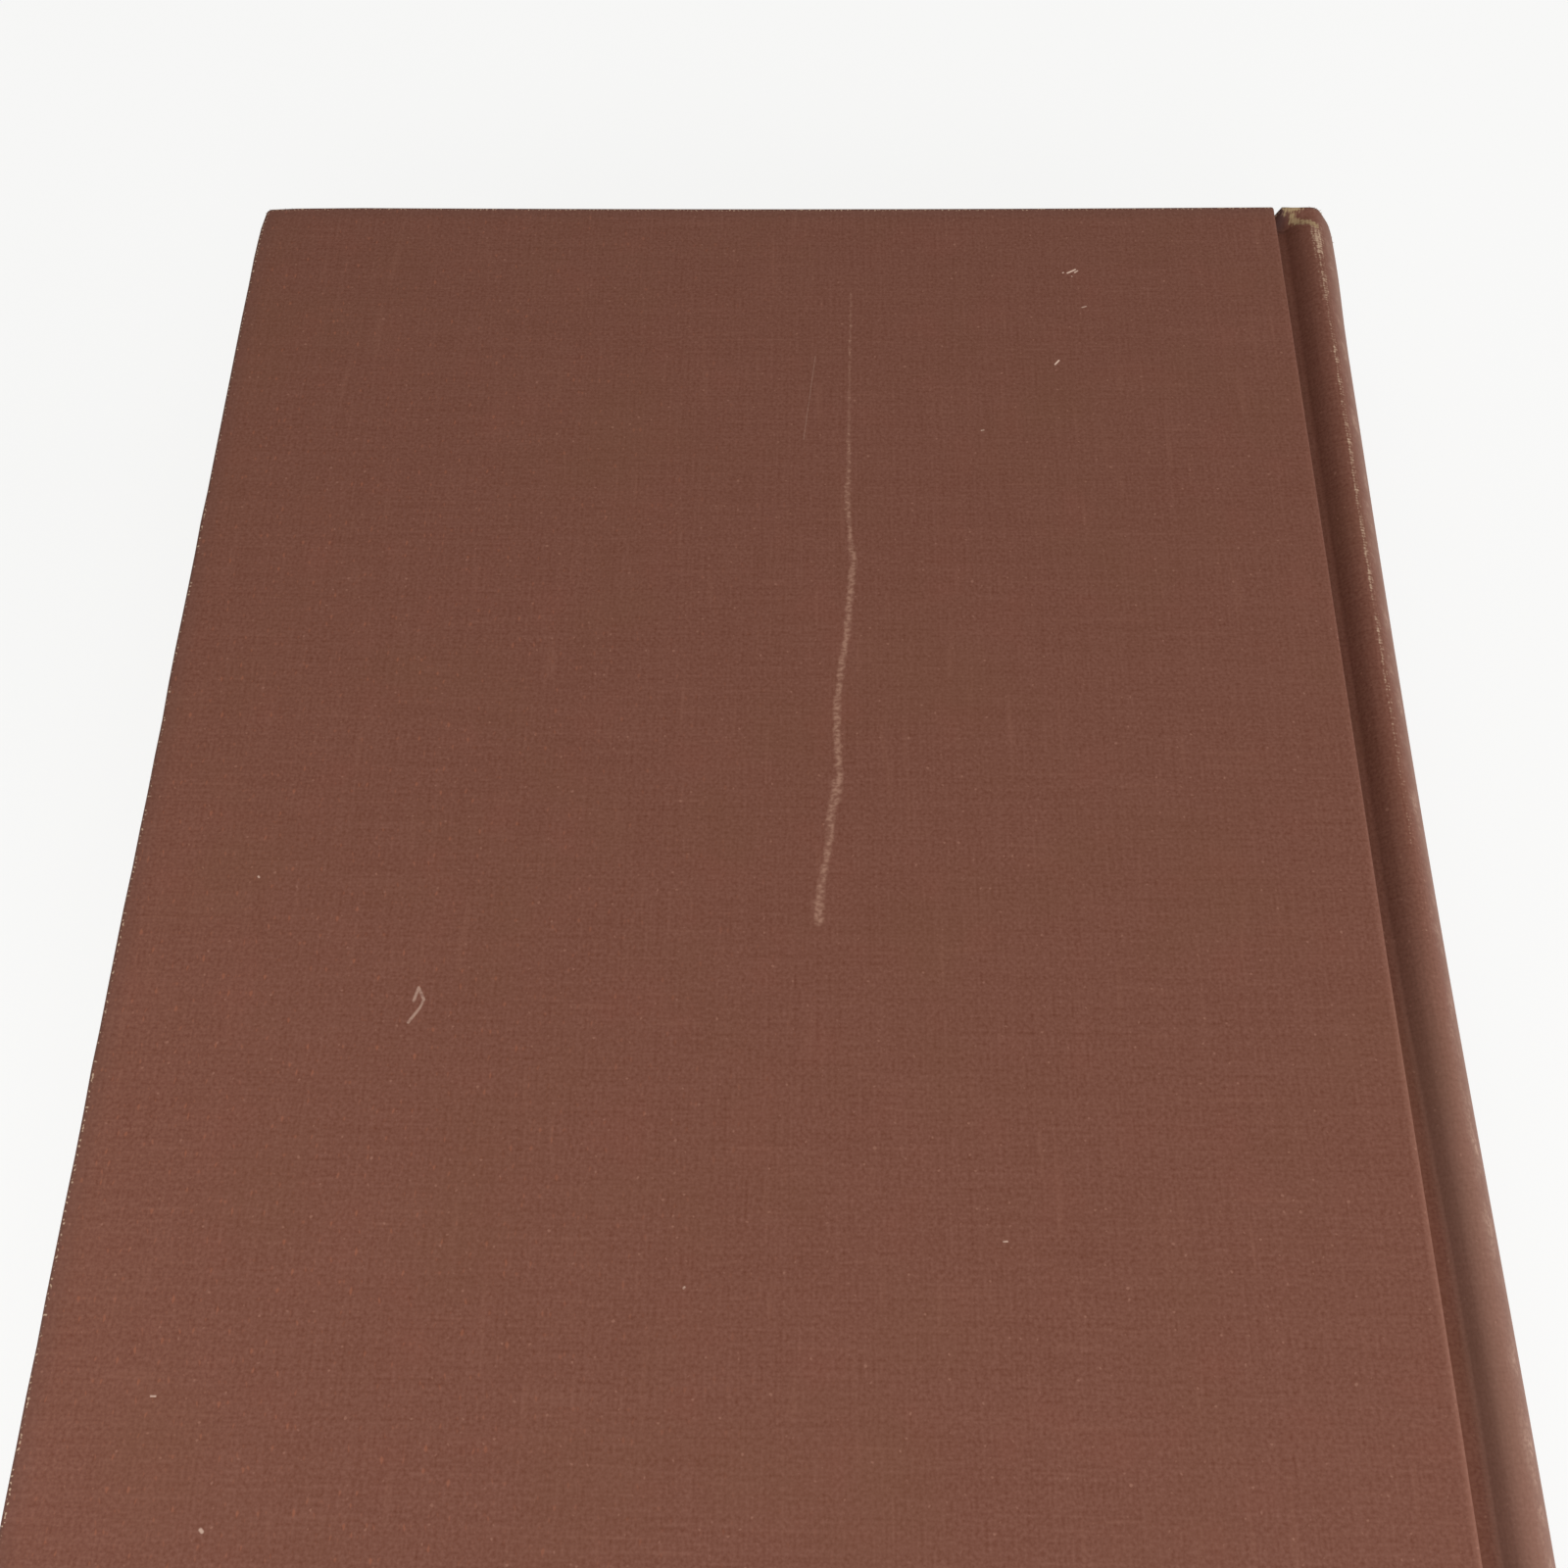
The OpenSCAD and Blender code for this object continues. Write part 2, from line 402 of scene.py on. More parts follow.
def cover_sheet(name):
    """Cloth over one board: face, rolled edges, walls and turn-ins, open towards the joint."""
    edge = JOINT - ROLL
    piece = slab(name, (FORE, -HEAD, TOP - SHELL), (edge, HEAD, TOP))
    round_corners(piece, FORE, 5)
    pick(piece, "FACE", lambda f: f.normal.x > 0.9 and near_to(f.calc_center_median().x, edge))
    bpy.ops.mesh.delete(type="FACE")

    def around(e):
        level = near_to(e.verts[0].co.z, e.verts[1].co.z)
        return level and not all(near_to(v.co.x, edge) for v in e.verts)

    pick(piece, "EDGE", around)
    bpy.ops.mesh.bevel(offset=ROLL, segments=3, affect="EDGES")
    xs = grid_lines(FORE, edge, [0.9 * MM, 2.5 * MM, 5 * MM, TURN_IN], 8 * MM)[:-4]
    xs += [edge - d * MM for d in (8, 3, 0.8)]
    slice_at(xs, grid_lines(-HEAD, HEAD, [0.6 * MM, *END_ROWS, TURN_IN], 5 * MM))

    def in_window(face):
        x, y, _ = face.calc_center_median()
        return face.normal.z < -0.99 and x > FORE + TURN_IN and abs(y) < HEAD - TURN_IN

    pick(piece, "FACE", in_window)
    bpy.ops.mesh.delete(type="FACE")
    return piece


def roll_out_joint(piece):
    """Carries the face's sheet on through the groove and round to the middle of the spine."""
    edge = JOINT - ROLL
    pick(piece, "EDGE", lambda e: all(near_to(v.co.x, edge) and near_to(v.co.z, TOP) for v in e.verts))
    for near, far in zip(SECTION, SECTION[1:]):
        bpy.ops.mesh.extrude_edges_move(TRANSFORM_OT_translate={"value": (far[0] - near[0], 0, far[1] - near[1])})


def fold_ends(piece):
    """Rolls the joint and spine cloth in at head and tail and lays it down inside."""
    rim = HEAD - ROLL
    mesh = bmesh.from_edit_mesh(piece.data)
    along = mesh.verts.layers.int.new("along")
    for v in mesh.verts:
        x, z = v.co.x - JOINT, v.co.z - TOP
        if abs(v.co.y) < rim + 1e-5 and x > -ROLL - 1e-5:
            gaps = [abs(p[0] - x) + abs(p[1] - z) for p in SECTION]
            if min(gaps) < 2e-5:
                v[along] = gaps.index(min(gaps)) + 1
    bmesh.update_edit_mesh(piece.data)
    roll = [radians(a) for a in range(30, 181, 30)]
    steps = [(ROLL * (1 - cos(a)), rim + ROLL * sin(a)) for a in roll]
    steps += [(2 * ROLL, HEAD - d) for d in (0.7 * MM, *END_ROWS, TURN_IN)]
    for side in (1, -1):
        mesh = bmesh.from_edit_mesh(piece.data)
        along = mesh.verts.layers.int["along"]
        pick(piece, "EDGE", lambda e: all(v[along] and near_to(v.co.y, side * rim) for v in e.verts))
        for inset, y in steps:
            bpy.ops.mesh.extrude_edges_move(TRANSFORM_OT_translate={"value": (0, 0, 0)})
            mesh = bmesh.from_edit_mesh(piece.data)
            along = mesh.verts.layers.int["along"]
            for v in mesh.verts:
                if v.select:
                    k = v[along] - 1
                    nx, nz = section_normal(k)
                    x, z = SECTION[k]
                    v.co = (JOINT + x - nx * inset, side * y, TOP + z - nz * inset)
            bmesh.update_edit_mesh(piece.data)


def unroll(piece):
    """Flat coordinates of the one sheet of cloth, in metres: u from the back cover's joint edge, v towards the
    head."""
    mesh = bmesh.from_edit_mesh(piece.data)
    along = mesh.verts.layers.int["along"]
    flat = mesh.loops.layers.uv.verify()
    place = {}
    for v in mesh.verts:
        x, y, z = v.co
        if v[along] and x > JOINT - ROLL + 1e-6:
            k = v[along] - 1
            nx, nz = section_normal(k)
            inset = (JOINT + SECTION[k][0] - x) * nx + (TOP + SECTION[k][1] - z) * nz
            fold = inset + (max(0.0, HEAD - abs(y)) if inset > ROLL else 0.0)
            place[v] = (RUN[k], y if inset < 1e-6 else copysign(HEAD + fold, y))
            continue
        down = TOP - z
        if down <= ROLL + 1e-6:
            place[v] = (x - JOINT, y)
            continue
        ends = [(x - FORE, (-1, 0)), (HEAD - y, (0, 1)), (HEAD + y, (0, -1))]
        gap, out = min(ends, key=lambda end: end[0])
        reach = down + (gap if down > SHELL - 1e-6 else 0)
        place[v] = (x - JOINT + out[0] * (reach + gap), y + out[1] * (reach + gap))
    for face in mesh.faces:
        for loop in face.loops:
            loop[flat].uv = place[loop.vert]
    bmesh.update_edit_mesh(piece.data)


def covering_cloth(name, upper):
    piece = cover_sheet(name)
    roll_out_joint(piece)
    fold_ends(piece)
    unroll(piece)
    weld(2e-6)
    mesh = bmesh.from_edit_mesh(piece.data)
    if max(mesh.faces, key=lambda f: f.calc_area()).normal.z < 0:
        bpy.ops.mesh.flip_normals()
    leave()
    thicken(piece, CLOTH)
    for v in piece.data.vertices:
        (age_back if upper else age_front)(v.co)
    if not upper:
        for corner in piece.data.uv_layers.active.data:
            corner.uv[0] = 2 * SPINE_RUN - corner.uv[0]
        mirror_down(piece)
    piece.data.attributes.remove(piece.data.attributes["along"])
    soften(piece, 40)
    return piece


# ---- boards, card and papers


def aged_board(name):
    """The back board follows its cupped and knocked cover."""
    low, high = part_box("back_board")
    piece = slab(name, low, high)
    round_corners(piece, low.x, 4)
    close = [1.5 * MM, 4 * MM, 8 * MM]
    slice_at(grid_lines(low.x, high.x, close, 10 * MM), grid_lines(low.y, high.y, close, 10 * MM))
    leave()
    for v in piece.data.vertices:
        age_back(v.co)
        v.co.z -= 0.02 * MM
    soften(piece, 30)
    return piece


def endpaper(name, node, flyleaf, upper):
    """Pastedown that shows the turn-ins under it, and the fold that takes it over the joint to the flyleaf."""
    low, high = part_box(node)
    fly_low, fly_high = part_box(flyleaf)
    # Outer levels of the paper over the turn-ins and of the flyleaf, as if it were the back cover.
    level = low.z if upper else TOP - high.z
    fly = (fly_high.z if upper else TOP - fly_low.z) + 0.02 * MM
    end = fly_high.x - 0.05 * MM
    inset, before = 14 * MM, JOINT - 3 * MM
    fine = [d * MM for d in (0, 1, 3, 6, 9, 10, 10.7, 11.4, 12.1, 12.8, 14)]  # lines over the turn-ins
    xs = [low.x + d for d in fine]
    xs += [low.x + inset + (before - low.x - inset) * k / 16 for k in range(1, 17)]
    xs += [before + 0.6 * MM * k for k in range(1, 9)]
    bend = xs[-1]
    xs += [bend + (end - bend) * k / 14 for k in range(1, 15)]
    ys = [low.y + d for d in fine]
    ys += [low.y + inset + (high.y - low.y - 2 * inset) * k / 22 for k in range(1, 22)]
    ys += [high.y - d for d in reversed(fine)]

    def place(i, j):
        x, y = xs[i], ys[j]
        gap = min(x - FORE, HEAD - abs(y))
        z = level + 0.36 * MM * rise(gap, 14.2, 2.2)
        z += 0.015 * MM * noise.noise(Vector((x * 60, y * 60, 7.7)))
        point = Vector((x, y, z))
        if upper:
            lift = cover_lift(min(x, JOINT), y) * (1 - rise(x - JOINT, -2, 4))
            point.z += max(lift, -0.1 * MM) if gap > 8 * MM else lift
        point.z += (fly - point.z) * rise(x - JOINT, -2.5, 5)
        return point

    piece = sheet_grid(name, len(xs), len(ys), place)
    edit()
    face_out()
    mesh = bmesh.from_edit_mesh(piece.data)
    mesh.faces.ensure_lookup_table()
    if mesh.faces[0].normal.z > 0:
        bpy.ops.mesh.flip_normals()
    leave()
    thicken(piece, 0.12 * MM)
    if not upper:
        mirror_down(piece)
    soften(piece, 50)
    return piece


def swept_card(name, inner, outer, spread, length):
    """A strip of card that is bent round the axis of the spine."""
    clear()
    bpy.ops.mesh.primitive_plane_add(size=1, location=(0, 0, 0))
    piece = added(name)
    first = radians(-spread)
    profile = [(inner, -length), (outer, -length), (inner, length), (outer, length)]
    for v, (radius, y) in zip(piece.data.vertices, profile):
        v.co = (SPINE_X + radius * cos(first), y, MID + radius * sin(first))
    edit()
    spin_round_spine(0, 2 * radians(spread), 40)
    slice_at(ys=[length * k / 10 for k in range(-9, 10)])
    close_ends(piece)
    weld(1e-6)
    leave()
    for v in piece.data.vertices:
        v.co.x += bow(v.co.x, v.co.y)
    soften(piece, 30)
    return piece


# ---- leaves and bands


def leaf_block(name):
    """Sewn leaves as one rounded and backed block, with the uneven edges of its leaves."""
    chance = random.Random(41)
    layers, fold_every = 118, 8
    hollow, hollow_r = 4.948, 17.762  # mm: how far the fore edge is drawn in, and its round
    spans = [-1 + 2 * k / layers for k in range(layers + 1)]
    rows = []
    for k in range(layers):
        if k % fold_every == 0:
            gathering = chance.uniform(-0.07, 0.07)
        out = gathering + chance.uniform(-0.06, 0.06)
        trim = gathering * 0.4 + chance.uniform(-0.04, 0.04)
        width = spans[k + 1] - spans[k]
        for share in (0.14, 0.86):
            rows.append((spans[k] + width * share, out * MM, trim * MM))
    rows[0] = (-1.0, *rows[0][1:])
    rows[-1] = (1.0, *rows[-1][1:])

    shares = [0, 0.01, 0.03, 0.1, 0.2, 0.3, 0.4, 0.5, 0.6, 0.7, 0.8]
    shares += [0.87, 0.91, 0.935, 0.955, 0.97, 0.98, 0.987, 0.993, 0.997, 1]
    steps = 36
    loop = [("head", s) for s in shares]
    loop += [("back", k / steps) for k in range(1, steps)]
    loop += [("tail", s) for s in reversed(shares)]
    loop += [("fore", k / steps) for k in range(1, steps)]
    loop.append(loop[0])

    def edge_points(t, out):
        z = LEAF_Z * t
        drawn_in = BLOCK_FORE + (hollow - hollow_r) * MM + sqrt((hollow_r * MM) ** 2 - z * z)
        angle = radians(45) * t
        back = (SPINE_X + (BLOCK_R - 0.02 * MM) * cos(angle), BLOCK_R * sin(angle))
        return z, max(BLOCK_FORE, drawn_in) + out, back

    def place(i, j):
        t, out, trim = rows[j]
        side, s = loop[i]
        z, fore, back = edge_points(t, out)
        if side in ("head", "tail"):
            x = fore + (back[0] - fore) * s
            y = PAGE + trim + 0.03 * MM * noise.noise(Vector((x * 90, z * 500, 1.7)))
            y = y if side == "head" else -y
        elif side == "back":
            x, y = back[0], PAGE * (1 - 2 * s)
        else:
            y = PAGE * (2 * s - 1)
            x = fore + 0.05 * MM * noise.noise(Vector((y * 70, z * 400, 5.2)))
        reach = (0.85 + 7 * (1 - abs(t) ** 3)) * MM
        swell = smooth((x - back[0] + reach) / reach) * (back[1] - z)
        return Vector((x, y, MID + z + swell))

    piece = sheet_grid(name, len(loop), len(rows), place)
    for last in (0, len(rows) - 1):
        head = [place(k, last) for k in range(len(shares))]
        back = [place(len(shares) - 1 + k, last) for k in range(steps + 1)]
        tail = [place(2 * len(shares) + steps - 2 - k, last) for k in range(len(shares))]
        fore = [place(len(loop) - 1 - k, last) for k in range(steps + 1)]

        def inner(i, j):
            if j in (0, steps):
                return head[i] if j == 0 else tail[i]
            if i in (0, len(shares) - 1):
                return fore[j] if i == 0 else back[j]
            return head[i] + (tail[i] - head[i]) * (j / steps)

        join(piece, sheet_grid(name + "_face", len(shares), steps + 1, inner))
    edit()
    weld(1e-7)
    leave()
    soften(piece, 25)
    return piece


def wound_cord(name, y):
    """The cord of a head or tail band, wound with thread."""
    sides, turns, thread = 14, 280, 0.42 * MM
    across = (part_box("head_band")[1].x - SPINE_X) - CORD
    spread = radians(BAND_SPREAD)
    clear()
    bpy.ops.mesh.primitive_circle_add(vertices=sides, radius=CORD, location=(0, 0, 0))
    piece = added(name)
    for k, v in enumerate(piece.data.vertices):
        a = 2 * pi * k / sides
        r = across + CORD * cos(a)
        v.co = (SPINE_X + r * cos(-spread), y + CORD * sin(a), MID + r * sin(-spread))
    edit()
    spin_round_spine(y, 2 * spread, turns)
    close_ends(piece)
    face_out()
    leave()
    for v in piece.data.vertices:
        angle = atan2(v.co.z - MID, v.co.x - SPINE_X)
        centre = Vector((SPINE_X + across * cos(angle), y, MID + across * sin(angle)))
        ring = v.co - centre
        lean = atan2(v.co.y - y, hypot(v.co.x - SPINE_X, v.co.z - MID) - across)
        wound = abs(sin(angle * across / thread * pi / 2 + 0.25 * lean))
        v.co = centre + ring * (0.9 + 0.1 * sqrt(wound))
    soften(piece, 60)
    return piece


def band(name, node, outward):
    """Head or tail band: the cord, on a strip of cloth that is glued to the back of the leaves."""
    low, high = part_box(node)
    y = (high.y - CORD) if outward > 0 else (low.y + CORD)
    piece = wound_cord(name, y)
    tape_low, tape_high = (low.y, y) if outward > 0 else (y, high.y)
    inner, outer = BLOCK_R + 0.06 * MM, BLOCK_R + 0.28 * MM
    tape = swept_card(name + "_tape", inner, outer, BAND_SPREAD, (tape_high - tape_low) / 2)
    for v in tape.data.vertices:
        v.co.x -= bow(v.co.x, v.co.y)
        v.co.y += (tape_low + tape_high) / 2
    join(piece, tape)
    piece.select_set(False)
    return piece


# ---- loose fibres of the worn cloth


def fibres(name, roots, length, thickness, seed):
    """Short broken threads: each root is a point with the direction in which the thread stands off."""
    chance = random.Random(seed)
    count = 6
    curve = bpy.data.curves.new(name, "CURVE")
    curve.dimensions = "3D"
    curve.bevel_depth = thickness / 2
    curve.bevel_resolution = 1
    curve.use_fill_caps = True
    for root, out in roots:
        spline = curve.splines.new("POLY")
        spline.points.add(count - 1)
        size = length * chance.uniform(0.4, 1.0)
        way = Vector(out).normalized()
        bend = Vector([chance.uniform(-1, 1) for _ in range(3)])
        spot = Vector(root) - way * 0.1 * MM
        for k in range(count):
            spline.points[k].co = (*spot, 1)
            spline.points[k].radius = 1.0 - 0.5 * k / count
            way = (way + bend * 0.28).normalized()
            spot = spot + way * size / (count - 1)
    piece = bpy.data.objects.new(name, curve)
    bpy.context.scene.collection.objects.link(piece)
    take(piece)
    bpy.ops.object.convert(target="MESH")
    piece = bpy.context.object
    edit()
    select_all()
    bpy.ops.mesh.remove_doubles(threshold=1e-7)
    leave()
    piece.select_set(False)
    return piece


def cap_roots(side, count, seed):
    """Roots along the worn edge of the spine's cloth at head or tail, most of them at the back cover's shoulder."""
    chance = random.Random(seed)
    first = next(k for k, p in enumerate(SECTION) if p[0] > 3.6 * MM)
    roots = []
    for _ in range(count):
        k = first + int((len(SECTION) - 1 - first) * chance.random() ** 1.9)
        nx, nz = section_normal(k)
        x, z = SECTION[k]
        a = radians(chance.uniform(5, 80))
        inset = ROLL * (1 - cos(a))
        y = HEAD - ROLL + ROLL * sin(a)
        point = Vector((JOINT + x - nx * inset, side * y, TOP + z - nz * inset))
        out = Vector((nx * cos(a), side * sin(a) * 1.2, nz * cos(a)))
        out += Vector((chance.uniform(-0.9, 0.9), chance.uniform(-0.2, 0.2) * side, chance.uniform(-0.5, 0.5)))
        roots.append((point, out))
    return roots


def corner_roots(count, seed):
    """Roots on the knocked corner and the head edge of the back cover."""
    chance = random.Random(seed)
    roots = []
    for _ in range(count):
        if chance.random() < 0.55:
            a = radians(chance.uniform(95, 175))
            x = FORE + CORNER + CORNER * cos(a)
            y = HEAD - CORNER + CORNER * sin(a)
            out = Vector((cos(a), sin(a), 0.7))
        else:
            x, y = FORE + chance.uniform(2, 22) * MM, HEAD
            out = Vector((chance.uniform(-0.8, 0.8), 1, 0.6))
        point = Vector((x, y, TOP - 0.35 * MM))
        age_back(point)
        roots.append((point, out))
    return roots


# ---- materials


class Value:
    """A number on its way between shader nodes. The usual signs stand for the maths nodes."""

    def __init__(self, net, socket):
        self.net = net
        self.socket = socket

    def __add__(self, other):
        return self.net.math("ADD", self, other)

    def __sub__(self, other):
        return self.net.math("SUBTRACT", self, other)

    def __rsub__(self, other):
        return self.net.math("SUBTRACT", other, self)

    def __mul__(self, other):
        return self.net.math("MULTIPLY", self, other)

    def __truediv__(self, other):
        return self.net.math("DIVIDE", self, other)

    def __abs__(self):
        return self.net.math("ABSOLUTE", self)


class Net:
    """Short hand for shader nodes."""

    def __init__(self, tree):
        self.tree = tree

    def add(self, kind, **settings):
        node = self.tree.nodes.new(kind)
        for key, value in settings.items():
            setattr(node, key, value)
        return node

    def put(self, socket, value):
        if isinstance(value, Value):
            value = value.socket
        if isinstance(value, bpy.types.NodeSocket):
            self.tree.links.new(value, socket)
        elif value is not None:
            socket.default_value = value

    def fill(self, node, *values):
        """Gives a node its inputs in their order, and hands on its first output."""
        for socket, value in zip(node.inputs, values):
            self.put(socket, value)
        return Value(self, node.outputs[0])

    def math(self, operation, a, b=None, clamp=False):
        return self.fill(self.add("ShaderNodeMath", operation=operation, use_clamp=clamp), a, b)

    def most(self, a, b):
        return self.math("MAXIMUM", a, b)

    def least(self, a, b):
        return self.math("MINIMUM", a, b)

    def ramp(self, value, low, high, to_low=0.0, to_high=1.0):
        node = self.add("ShaderNodeMapRange", interpolation_type="SMOOTHSTEP")
        return self.fill(node, value, low, high, to_low, to_high)

    def combine(self, x, y, z):
        return self.fill(self.add("ShaderNodeCombineXYZ"), x, y, z)

    def split(self, vector):
        node = self.add("ShaderNodeSeparateXYZ")
        self.put(node.inputs[0], vector)
        return [Value(self, part) for part in node.outputs]

    def place(self):
        return self.add("ShaderNodeTexCoord").outputs["Object"]

    def noise(self, vector, scale, detail=2.0, rough=0.5):
        node = self.add("ShaderNodeTexNoise")
        for name, value in (("Vector", vector), ("Scale", scale), ("Detail", detail), ("Roughness", rough)):
            self.put(node.inputs[name], value)
        return Value(self, node.outputs["Fac"])

    def mix(self, share, a, b):
        node = self.add("ShaderNodeMix", data_type="RGBA")
        for socket, value in ((0, share), (6, a), (7, b)):
            self.put(node.inputs[socket], value)
        return node.outputs[2]

    def lighten(self, colour, amount, step):
        """Adds amount times step to a colour."""
        node = self.add("ShaderNodeVectorMath", operation="MULTIPLY_ADD")
        return self.fill(node, self.combine(amount, amount, amount), step, colour)

    def curve(self, value, points):
        node = self.add("ShaderNodeFloatCurve")
        self.put(node.inputs["Value"], value)
        line = node.mapping.curves[0]
        line.points[0].location = points[0]
        line.points[1].location = points[-1]
        for x, y in points[1:-1]:
            line.points.new(x, y)
        for point in line.points:
            point.handle_type = "VECTOR"
        node.mapping.update()
        return Value(self, node.outputs[0])


def linear(r, g, b):
    """A colour as the photo shows it, 0 to 255, in linear light."""
    parts = [c / 255 for c in (r, g, b)]
    return (*[c / 12.92 if c <= 0.04045 else ((c + 0.055) / 1.055) ** 2.4 for c in parts], 1.0)


def new_group(name, takes, gives):
    group = bpy.data.node_groups.new(name, "ShaderNodeTree")
    for title, kind, value in takes:
        socket = group.interface.new_socket(title, in_out="INPUT", socket_type="NodeSocket" + kind)
        if value is not None:
            socket.default_value = value
    for title in gives:
        group.interface.new_socket(title, in_out="OUTPUT", socket_type="NodeSocketFloat")
    net = Net(group)
    values = {socket.name: Value(net, socket) for socket in net.add("NodeGroupInput").outputs}
    return net, values, net.add("NodeGroupOutput").inputs


def use_group(net, group, **values):
    node = net.add("ShaderNodeGroup", node_tree=group)
    for key, value in values.items():
        net.put(node.inputs[key], value)
    return {socket.name: Value(net, socket) for socket in node.outputs}


def weave_group():
    """Plain weave on flat sheet coordinates: how high each thread stands, and the uneven tone of single threads."""
    net, takes, gives = new_group(
        "plain_weave",
        [("Sheet", "Vector", None), ("Warp", "Float", 0.0005), ("Weft", "Float", 0.0005)],
        ["Height", "Tone", "Slub"],
    )
    sheet = takes["Sheet"]
    u, v, _ = net.split(sheet)
    drift = (net.noise(sheet, 140, 1) - 0.5) * 1.1
    sway = (net.noise(net.combine(v, u, 0.4), 140, 1) - 0.5) * 1.1
    across = u / takes["Warp"] + drift
    along = v / takes["Weft"] + sway
    sin_a = net.math("SINE", across * pi)
    sin_b = net.math("SINE", along * pi)
    crossing = sin_a * sin_b
    warp = (abs(sin_a) + crossing) * 0.5
    weft = (abs(sin_b) - crossing) * 0.5
    net.put(gives["Height"], net.most(warp, weft))
    warp_tone = net.noise(net.combine(across, v * 90, 0.0), 0.9, 1)
    weft_tone = net.noise(net.combine(u * 90, along, 3.0), 0.9, 1)
    net.put(gives["Tone"], warp_tone * 0.5 + weft_tone * 0.5)
    long_warp = net.ramp(net.noise(net.combine(across, v * 150, 9.0), 0.6, 0), 0.7, 0.85)
    long_weft = net.ramp(net.noise(net.combine(u * 150, along, 12.0), 0.6, 0), 0.7, 0.85)
    net.put(gives["Slub"], net.most(long_warp, long_weft))
    return net.tree


def mark_group():
    """A short mark on the line between two points of the sheet: distance from it, in half widths."""
    vectors = [(title, "Vector", (0, 0, 0)) for title in ("From", "Way", "Pace")]
    net, takes, gives = new_group(
        "short_mark", [("Sheet", "Vector", None), *vectors, ("Width", "Float", 0.0004)], ["Reach"]
    )

    def vector(operation, a, b):
        node = net.add("ShaderNodeVectorMath", operation=operation)
        net.fill(node, a, b)
        return node.outputs

    off = vector("SUBTRACT", takes["Sheet"], takes["From"])[0]
    share = net.math("ADD", vector("DOT_PRODUCT", off, takes["Pace"])["Value"], 0.0, clamp=True)
    scaled = net.add("ShaderNodeVectorMath", operation="SCALE")
    net.put(scaled.inputs[0], takes["Way"])
    net.put(scaled.inputs["Scale"], share)
    gap = vector("DISTANCE", off, scaled.outputs[0])["Value"]
    net.put(gives["Reach"], net.math("DIVIDE", gap, takes["Width"]))
    return net.tree


def fibre_group():
    """Felted fibres of paper and board: tone and height."""
    net, takes, gives = new_group(
        "felted_fibres", [("Place", "Vector", None), ("Scale", "Float", 900.0)], ["Tone", "Height"]
    )
    fine = net.noise(takes["Place"], takes["Scale"], 4, 0.65)
    broad = net.noise(takes["Place"], takes["Scale"] * 0.04, 3, 0.6)
    net.put(gives["Tone"], fine * 0.35 + broad * 0.65)
    net.put(gives["Height"], fine)
    return net.tree


def new_material(name, roughness, specular):
    material = bpy.data.materials.new(name)
    material.use_nodes = True
    net = Net(material.node_tree)
    shader = material.node_tree.nodes["Principled BSDF"]
    shader.inputs["Roughness"].default_value = roughness
    shader.inputs["Specular IOR Level"].default_value = specular
    return material, net, shader


def paint(net, shader, colour, height, depth, strength=1.0):
    """Gives a material its colour, and the height of its threads or fibres as a bump."""
    net.put(shader.inputs["Base Color"], colour)
    node = net.add("ShaderNodeBump")
    node.inputs["Strength"].default_value = strength
    node.inputs["Distance"].default_value = depth
    net.put(node.inputs["Height"], height)
    net.put(shader.inputs["Normal"], node.outputs["Normal"])


WEAVE = weave_group()
MARK = mark_group()
FIBRES = fibre_group()

# The long scrape on the back cover: height, place across the cover and half width along it, in mm.
SCRAPE = [
    (101.9, 6.37, 0.13), (87.8, 6.18, 0.18), (76.8, 6.01, 0.29), (70.9, 5.99, 0.34),
    (66.6, 5.78, 0.49), (62.2, 6.03, 0.34), (59.4, 6.22, 0.36), (56.3, 6.6, 0.49),
    (53.2, 6.26, 0.49), (49.3, 5.99, 0.47), (45.5, 5.72, 0.47), (41.1, 5.02, 0.47),
    (37.6, 4.64, 0.36), (34.6, 4.39, 0.55), (31.1, 4.39, 0.44), (27.3, 4.58, 0.47),
    (25.0, 4.75, 0.39), (24.4, 4.5, 0.78), (23.4, 4.39, 0.78), (21.7, 4.09, 0.72),
    (20.4, 3.73, 0.55), (17.8, 3.61, 0.55), (16.2, 3.5, 0.55), (12.1, 2.8, 0.47),
    (9.9, 2.45, 0.52), (7.6, 2.23, 0.68), (5.9, 2.24, 0.59),
]

SHORT_MARKS = {  # strength: x and y from, x and y to, and half width of each mark, in mm on the back cover
    0.12: [(1.34, 90.35, -0.2, 75.96, 0.1)],
    0.33: [
        (-44.68, -2.79, -45.08, -4.38, 0.26), (-44.68, -2.79, -43.91, -4.23, 0.25),
        (-43.91, -4.23, -44.3, -5.26, 0.22), (-44.3, -5.26, -45.44, -6.97, 0.25),
    ],
    0.55: [
        (38.35, 104.8, 38.4, 104.75, 0.13), (39.48, 99.06, 40.05, 99.24, 0.13),
        (24.3, 77.5, 24.6, 77.56, 0.16), (-65.7, 10.95, -65.6, 10.85, 0.17),
        (-68.1, -47.86, -67.6, -47.86, 0.14), (22.6, -30.9, 23.0, -30.88, 0.14),
        (-12.2, -36.2, -12.1, -36.1, 0.17), (-60.7, -60.5, -60.5, -60.7, 0.26),
    ],
    0.95: [
        (37.77, 105.4, 38.94, 106.03, 0.17), (38.83, 105.5, 39.25, 105.8, 0.14),
        (37.1, 105.45, 37.2, 105.5, 0.12), (35.06, 88.87, 35.62, 89.56, 0.17),
    ],
}


